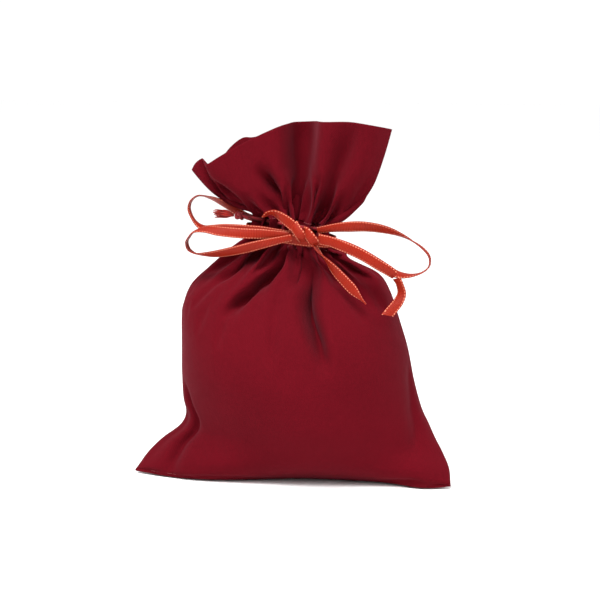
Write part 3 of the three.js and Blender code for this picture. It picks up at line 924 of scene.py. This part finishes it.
# ---------------------------------------------------------------- ribbon
# Routes in millimetres, with the ribbon's turn in degrees: 0 shows the front its face, 90 its edge.
LOOP_LEFT = [
    (1.1, -12.4, 93.9, 10), (-7.4, -13, 94.1, 10), (-17.2, -14, 94.3, 20), (-26.1, -14.5, 94.9, 35),
    (-32, -14, 95.5, 60), (-36.5, -13, 94.4, 85), (-39.1, -12, 91.8, 90), (-40, -11.5, 89.7, 90),
    (-38.7, -12, 87.1, 90), (-35, -13, 85.9, 75), (-28.8, -14.5, 86.2, 50), (-20.6, -15.5, 87.8, 30),
    (-11.6, -15.5, 90.1, 15), (-3.1, -14.8, 92.2, 5), (1.4, -14, 93.2, 5),
]
LOOP_RIGHT = [
    (11, -12.6, 95.9, 0), (16.2, -13.5, 97, 0), (22.4, -14.5, 97.8, 5), (29.7, -15, 98.1, 20),
    (37.1, -15, 97.1, 40), (43.5, -14, 94.8, 65), (48.7, -13, 91.8, 85), (52.3, -12, 88.3, 90),
    (53.3, -12, 85.5, 90), (52.6, -12, 82.8, 90), (49.8, -13, 80.9, 90), (45.3, -14, 80.1, 75),
    (40.7, -15, 80.9, 55), (35.4, -16, 84, 35), (28.9, -16.5, 87.7, 20), (22.7, -16, 90.6, 10),
    (16.6, -15, 92.6, 5), (11.6, -14, 93.8, 0),
]
SLACK_LOOP = [
    (0, -11.2, 94.2, 5), (-13.5, -11.6, 95.1, 10), (-24.4, -10.8, 95.4, 20), (-30.8, -9, 95, 40),
    (-34.9, -8, 95.6, 70), (-38.4, -6.5, 97.9, 90), (-40.7, -5, 101.7, 90), (-40.3, -4, 105.1, 90),
    (-37.6, -2.5, 107.2, 85), (-33.4, 1, 106, 60), (-28.8, 5, 103.2, 35), (-24.2, 6.6, 100.2, 15),
    (-20.8, 6.8, 98.6, 10), (-16.8, 6.4, 97.6, 5),
]
TAIL_FRONT = [
    (10.2, -15.9, 91.6, 100), (12.2, -17, 88.8, 92), (15.4, -18.5, 85.8, 62), (20, -20, 81.1, 18),
    (25.3, -21, 75.9, 0), (31.1, -22, 70.2, 0),
]
TAIL_SIDE = [
    (12, -15.8, 93, 0), (17, -17, 92.3, 0), (23.2, -18.5, 90.4, 0), (29.3, -19.2, 87.9, 0),
    (35.3, -19.5, 84.6, 0), (39.1, -19, 82.4, 10), (41.3, -18.5, 80.6, 30),
]
TAIL_TIP = [
    (41.8, -18.4, 79.7, 35), (42.9, -18, 77.5, 40), (43.7, -18, 74.1, 30), (42.7, -19, 71.1, 20),
    (40.6, -20, 68.3, 10), (38.9, -21, 66.1, 0),
]
FOLD = [
    (-9.8, -10.6, 100.6, 80), (-8.0, -11.4, 101.8, 65), (-5.4, -12.2, 101.9, 45), (-2.6, -13, 100.6, 20),
    (0.2, -13.9, 98.9, 5), (2.4, -14.5, 97.2, 0), (4.4, -14.5, 95, 0),
]
KNOT_OVER = [
    (2.2, -13.4, 98.0, 0), (3.2, -15.4, 97.0, 0), (4.6, -16.5, 95.4, 0), (5.7, -16.2, 93.7, 0),
    (6.2, -14.6, 92.3, 0),
]
KNOT_UNDER = [
    (6.6, -13.6, 95.7, 20), (7.8, -16.2, 95.4, 15), (9.2, -17.4, 94.0, 8), (10.4, -16.9, 92.2, 0),
    (10.7, -15.0, 91.1, 0),
]
# The wrap's height on the neck, its reach across and deep, and the steps that draw it.
WRAP_HEIGHT, WRAP_REACH, WRAP_DEPTH, WRAP_STEPS = -1.5, 17.3, 9.3, 240
# The wrap follows the pleats a little, and hangs lower on one side.
WRAP_WAVES, WRAP_WAVE, WRAP_SAG = 9, 0.012, 0.35


def ribbon_piece(name, routes, material, sizes, body, replaced, cup=0.3, slant=0.0, narrow=None):
    """A piece of ribbon along one or more routes."""
    bm = bmesh.new()
    for route in routes:
        points, turns = ribbon_line(route, rib_step(sizes))
        widths = [narrow(j / (len(points) - 1)) for j in range(len(points))] if narrow else None
        band(bm, points, turns, sizes, cup=cup * MM, widths=widths, slant=slant)
    piece = new_piece(name, bm, material, body, replaced)
    add_modifier(piece, "ribbon thickness", "SOLIDIFY", thickness=sizes.thickness, offset=0)
    return piece


def declare_cord(route):
    points, _ = ribbon_line(route, 1 * MM)


def pinched_ends(t):
    """A loop's share of its full width: it is pinched where the knot holds it."""
    return 0.62 + 0.38 * smooth(0, 0.16, t) * smooth(1, 0.8, t)


class GIFTSACK_OT_ribbon_loops(bpy.types.Operator):
    """Makes the bow's two loops and the slack loop behind it"""

    bl_idname = "giftsack.ribbon_loops"
    bl_label = "Ribbon loops"

    def execute(self, context):
        sizes = settings(context, "ribbon")
        satin = ribbon_material(settings(context, "colours"), sizes)
        loops = {"loop_left": LOOP_LEFT, "loop_right": LOOP_RIGHT, "slack_loop": SLACK_LOOP}
        for name, route in loops.items():
            piece = ribbon_piece(
                "satin_" + name, [route], satin, sizes, name, ["ribbon_" + name], narrow=pinched_ends)
            declare_cord(route)
        return {"FINISHED"}


class GIFTSACK_OT_ribbon_tails(bpy.types.Operator):
    """Makes the ribbon's two cut ends"""

    bl_idname = "giftsack.ribbon_tails"
    bl_label = "Ribbon tails"

    def execute(self, context):
        sizes = settings(context, "ribbon")
        satin = ribbon_material(settings(context, "colours"), sizes)
        front = ribbon_piece(
            "satin_tail_front", [TAIL_FRONT], satin, sizes, "tail_front", ["ribbon_tail_front"],
            narrow=lambda t: 1 - 0.93 * smooth(0.72, 1.0, t))
        declare_cord(TAIL_FRONT)
        side = ribbon_piece(
            "satin_tail_side", [TAIL_SIDE], satin, sizes, "tail_side", ["ribbon_tail_side"])
        declare_cord(TAIL_SIDE)
        ribbon_piece(
            "satin_tail_side_tip", [TAIL_TIP], satin, sizes, "tail_side_tip",
            ["ribbon_tail_side_tip"], slant=0.6)
        return {"FINISHED"}


class GIFTSACK_OT_ribbon_knot(bpy.types.Operator):
    """Makes the ribbon's wrap round the neck, the knot and the fold that stands over it"""

    bl_idname = "giftsack.ribbon_knot"
    bl_label = "Ribbon wrap and knot"

    def execute(self, context):
        sizes = settings(context, "ribbon")
        satin = ribbon_material(settings(context, "colours"), sizes)
        bm = bmesh.new()
        around = []
        for k in range(WRAP_STEPS + 1):
            a = 2 * math.pi * k / WRAP_STEPS
            reach = 1 + WRAP_WAVE * math.sin(WRAP_WAVES * a)
            around.append(at_neck(
                WRAP_REACH * reach * math.cos(a),
                WRAP_DEPTH * reach * math.sin(a),
                WRAP_HEIGHT + WRAP_SAG * math.sin(a + 0.6)))
        ring = walk(around, round(length_of(around) / rib_step(sizes)))
        outwards = [(p - NECK).normalized() for p in ring]
        band(bm, ring, [0.0] * len(ring), sizes, reference=lambda i: outwards[i], cup=0.15 * MM)
        bmesh.ops.remove_doubles(bm, verts=bm.verts, dist=0.02 * MM)
        wrap = new_piece("satin_wrap", bm, satin, "sack", ["ribbon_wrap"])
        add_modifier(wrap, "ribbon thickness", "SOLIDIFY", thickness=sizes.thickness, offset=0)
        knot = [KNOT_OVER, KNOT_UNDER]
        ribbon_piece("satin_knot", knot, satin, sizes, "sack", ["ribbon_knot"], cup=0.7)
        ribbon_piece("satin_fold", [FOLD], satin, sizes, "sack", ["ribbon_fold"])
        return {"FINISHED"}


# ---------------------------------------------------------------- drawstring
CORD_RADIUS = 0.8 * MM
CORD_SPREAD = 0.97
CORD_LEVEL = 2.6
# Along the neck: inside the casing's mouth, just outside it, the knot, and where the fibres start.
MOUTH_X, EXIT_X, TIE_X, TASSEL_X = -13.5, -16.8, -20.5, -23.1
# The cord's oval inside the casing: reach, depth, steps, and half the gap at its mouth in radians.
OVAL_REACH, OVAL_DEPTH, OVAL_STEPS, OVAL_GAP = 10.6, 3.4, 20, 0.14
# A strand from the casing to the knot: place along, share of the spread, rise.
STRAND = [(EXIT_X + 0.3, 1, 0), (-17.8, 1.05, 0.15), (-19.0, 0.8, 0.05), (TIE_X + 0.2, 0.5, 0)]
# The knot is a trefoil: its size along, across and up, and its steps.
KNOT_LONG, KNOT_WIDE, KNOT_HIGH, KNOT_STEPS = 0.5, 0.62, 0.85, 96
FIBRES, FIBRE_STEPS, FIBRE_SPREAD = 58, 8, 2.1


def neck_line():
    """The cord in at the casing's mouth, once round the neck and out again."""
    inner, outer = [[at_neck(x, side * CORD_SPREAD, CORD_LEVEL) for side in (-1, 1)]
                    for x in (MOUTH_X, EXIT_X + 0.6)]
    oval = []
    for k in range(OVAL_STEPS + 1):
        a = math.pi + OVAL_GAP + 2 * (math.pi - OVAL_GAP) * k / OVAL_STEPS
        oval.append(at_neck(OVAL_REACH * math.cos(a), OVAL_DEPTH * math.sin(a), CORD_LEVEL))
    return smooth_curve([outer[0], inner[0], *oval, inner[1], outer[1]], 6)


def strand_line(side):
    return smooth_curve([
        at_neck(x, side * CORD_SPREAD * share, CORD_LEVEL + rise) for x, share, rise in STRAND], 8)


def knot_line():
    line = []
    for k in range(KNOT_STEPS + 1):
        a = 2 * math.pi * k / KNOT_STEPS
        line.append(at_neck(
            TIE_X + KNOT_LONG * (math.cos(a) - 2 * math.cos(2 * a)),
            KNOT_WIDE * (math.sin(a) + 2 * math.sin(2 * a)),
            CORD_LEVEL - KNOT_HIGH * math.sin(3 * a)))
    return line


def fibre_line(draw):
    """One loose fibre of the frayed ends, drawn at random."""
    angle, reach = draw.uniform(0, 2 * math.pi), math.sqrt(draw.random())
    length = draw.uniform(4.6, 8.0)
    curl = draw.uniform(-0.5, 0.5)
    line = []
    for k in range(FIBRE_STEPS + 1):
        t = k / FIBRE_STEPS
        wide = FIBRE_SPREAD * reach * (0.2 + 0.8 * smooth(0, 0.55, t))
        rise = 0.8 * wide * math.sin(angle) + curl * math.cos(4 * t + angle) * t - 0.4 * t
        line.append(at_neck(
            TASSEL_X - length * t,
            wide * math.cos(angle) + curl * math.sin(5 * t + angle) * t,
            CORD_LEVEL - 0.1 + rise))
    return line


class GIFTSACK_OT_drawstring(bpy.types.Operator):
    """Makes the drawstring round the neck, its two ends, the knot that joins them and the tassel"""

    bl_idname = "giftsack.drawstring"
    bl_label = "Drawstring"

    def execute(self, context):
        colours = settings(context, "colours")
        yarn = twisted_material("twisted drawstring", colours.cord, 0.9)
        bm = bmesh.new()
        tube(bm, neck_line(), CORD_RADIUS)
        closed_piece("drawstring_round_neck", bm, yarn, "sack", "drawstring_cord")
        for name, side in (("front", -1), ("back", 1)):
            bm = bmesh.new()
            tube(bm, strand_line(side), CORD_RADIUS)
            closed_piece(
                "drawstring_strand_" + name, bm, yarn, "drawstring_ends",
                "drawstring_end_" + name)
        bm = bmesh.new()
        tube(bm, knot_line(), 0.9 * CORD_RADIUS, sides=10, reference=Vector((0.3, 0.1, 1)))
        closed_piece(
            "drawstring_tied_knot", bm, yarn, "drawstring_ends", "drawstring_knot")
        draw = random.Random(7)
        bm = bmesh.new()
        taper = [1 - 0.55 * (k / FIBRE_STEPS) ** 2 for k in range(FIBRE_STEPS + 1)]
        for _ in range(FIBRES):
            line = fibre_line(draw)
            tube(bm, line, draw.uniform(0.26, 0.42) * MM, sides=5, sizes=taper)
        fibre = twisted_material("frayed yarn", colours.fray, 0.35, 0.85)
        closed_piece(
            "drawstring_frayed_tassel", bm, fibre, "tassel", "drawstring_tassel")
        return {"FINISHED"}


# ---------------------------------------------------------------- stitches
STITCH_PITCH, STITCH_LENGTH = 2.4 * MM, 1.7 * MM
CASING_THREAD, CASING_LIFT = 0.16 * MM, 0.14 * MM
# The seams' stitches lie inside the sack, this far in from the cloth.
SEAM_THREAD, SIDE_INSET, BOTTOM_INSET = 0.14 * MM, 1.6 * MM, 1.2 * MM
# The bottom seam is sewn between its corners, this far to both sides.
BOTTOM_REACH = 54 * MM


def cloth_row(height):
    """Points and outward directions round the sack at a cloth height, from the left seam."""
    step = RIM / settings(bpy.context, "sizes").up
    row = []
    for side, layer in (("front", -1), ("back", 1)):
        mesh = bpy.data.objects["sack_cloth_" + side].data
        places = mesh.attributes["place"].data
        found = []
        for v, p in zip(mesh.vertices, places):
            if p.vector.y != 0 and abs(p.vector.z - height) < step * 0.51:
                found.append((-layer * p.vector.x, v.co.copy(), v.normal.copy()))
        found.sort(key=lambda item: item[0])
        row += found if layer < 0 else found[1:]
    return row


def cloth_column(across):
    """The cloth's points up one side seam, from the bottom, with the ways out from the middle."""
    mesh = bpy.data.objects["sack_cloth_front"].data
    found = []
    for v, p in zip(mesh.vertices, mesh.attributes["place"].data):
        if abs(p.vector.x - across) < 0.001 and p.vector.y != 0:
            found.append((p.vector.z, v.co.copy(), Vector((across, 0, 0))))
    found.sort(key=lambda item: item[0])
    return found


def sew(name, line, node, thread, radius, lift, ends=0.0):
    """A piece of short stitches along a line of places and outward directions."""
    points = [item[1] for item in line]
    out = [item[2] for item in line]
    gaps = [(b - a).length for a, b in zip(points, points[1:])]
    passed = [0.0]
    for gap in gaps:
        passed.append(passed[-1] + gap)

    def at(distance, rise):
        i = 0
        while i < len(gaps) - 1 and passed[i + 1] < distance:
            i += 1
        t = min(1.0, max(0.0, (distance - passed[i]) / max(gaps[i], 1e-9)))
        return points[i].lerp(points[i + 1], t) + out[i].lerp(out[i + 1], t).normalized() * rise

    bm = bmesh.new()
    sunk, low = 1 - ends, 1 - ends * 0.3
    for k in range(int(passed[-1] / STITCH_PITCH)):
        start = (k + 0.25) * STITCH_PITCH
        steps = [(0, sunk), (0.12, low), (0.5, 1.0), (0.88, low), (1, sunk)]
        stitch = [at(start + STITCH_LENGTH * t, lift * rise) for t, rise in steps]
        tube(bm, stitch, radius, sides=6)
    closed_piece(name, bm, thread, "sack", node)


class GIFTSACK_OT_stitches(bpy.types.Operator):
    """Sews the casing's two rows and the seams"""

    bl_idname = "giftsack.stitches"
    bl_label = "Stitches"

    def execute(self, context):
        thread = twisted_material("sewing thread", settings(context, "colours").thread, 1.2)
        for name, height in (("lower", CASING_LOW), ("upper", CASING_TOP)):
            sew("casing_stitches_" + name, cloth_row(height), "casing_thread_" + name,
                thread, CASING_THREAD, CASING_LIFT, ends=1.5)
        for name, across in (("left", -1), ("right", 1)):
            column = [item for item in cloth_column(across) if item[0] < CASING_LOW - 2]
            sew("side_seam_stitches_" + name, column, "side_seam_thread_" + name,
                thread, SEAM_THREAD, -SIDE_INSET)
        down = Vector((0, 0, -1))
        bottom = [(s, p, down) for s, p, _ in cloth_row(0) if abs(p.x) < BOTTOM_REACH]
        bottom.sort(key=lambda item: item[1].x)
        sew("bottom_seam_stitches", bottom, "bottom_seam_thread", thread, SEAM_THREAD, -BOTTOM_INSET)
        return {"FINISHED"}


class GIFTSACK_PT_panel(bpy.types.Panel):
    """Lists the steps that build the gift sack"""

    bl_label = "Gift sack"
    bl_idname = "GIFTSACK_PT_panel"
    bl_space_type = "VIEW_3D"
    bl_region_type = "UI"
    bl_category = "Gift sack"

    def draw(self, context):
        for step in STEPS:
            self.layout.operator(step.bl_idname)
        for group in ("sizes", "ribbon", "colours"):
            values = settings(context, group)
            for key in values.__annotations__:
                self.layout.prop(values, key)


STEPS = (
    GIFTSACK_OT_stage, GIFTSACK_OT_ribbon_loops, GIFTSACK_OT_ribbon_tails, GIFTSACK_OT_ribbon_knot,
    GIFTSACK_OT_drawstring, GIFTSACK_OT_cloth, GIFTSACK_OT_stitches,
)
CLASSES = (SackSizes, RibbonSizes, SackColours, *STEPS, GIFTSACK_PT_panel)


def register():
    for cls in CLASSES:
        bpy.utils.register_class(cls)
    bpy.types.Scene.gift_sack_sizes = bpy.props.PointerProperty(type=SackSizes)
    bpy.types.Scene.gift_sack_ribbon = bpy.props.PointerProperty(type=RibbonSizes)
    bpy.types.Scene.gift_sack_colours = bpy.props.PointerProperty(type=SackColours)


def unregister():
    del bpy.types.Scene.gift_sack_colours
    del bpy.types.Scene.gift_sack_ribbon
    del bpy.types.Scene.gift_sack_sizes
    for cls in reversed(CLASSES):
        bpy.utils.unregister_class(cls)


def main():
    register()
    bpy.ops.giftsack.stage()
    bpy.ops.giftsack.ribbon_loops()
    bpy.ops.giftsack.ribbon_tails()
    bpy.ops.giftsack.ribbon_knot()
    bpy.ops.giftsack.drawstring()
    bpy.ops.giftsack.cloth()
    bpy.ops.giftsack.stitches()


if __name__ == "__main__":
    main()
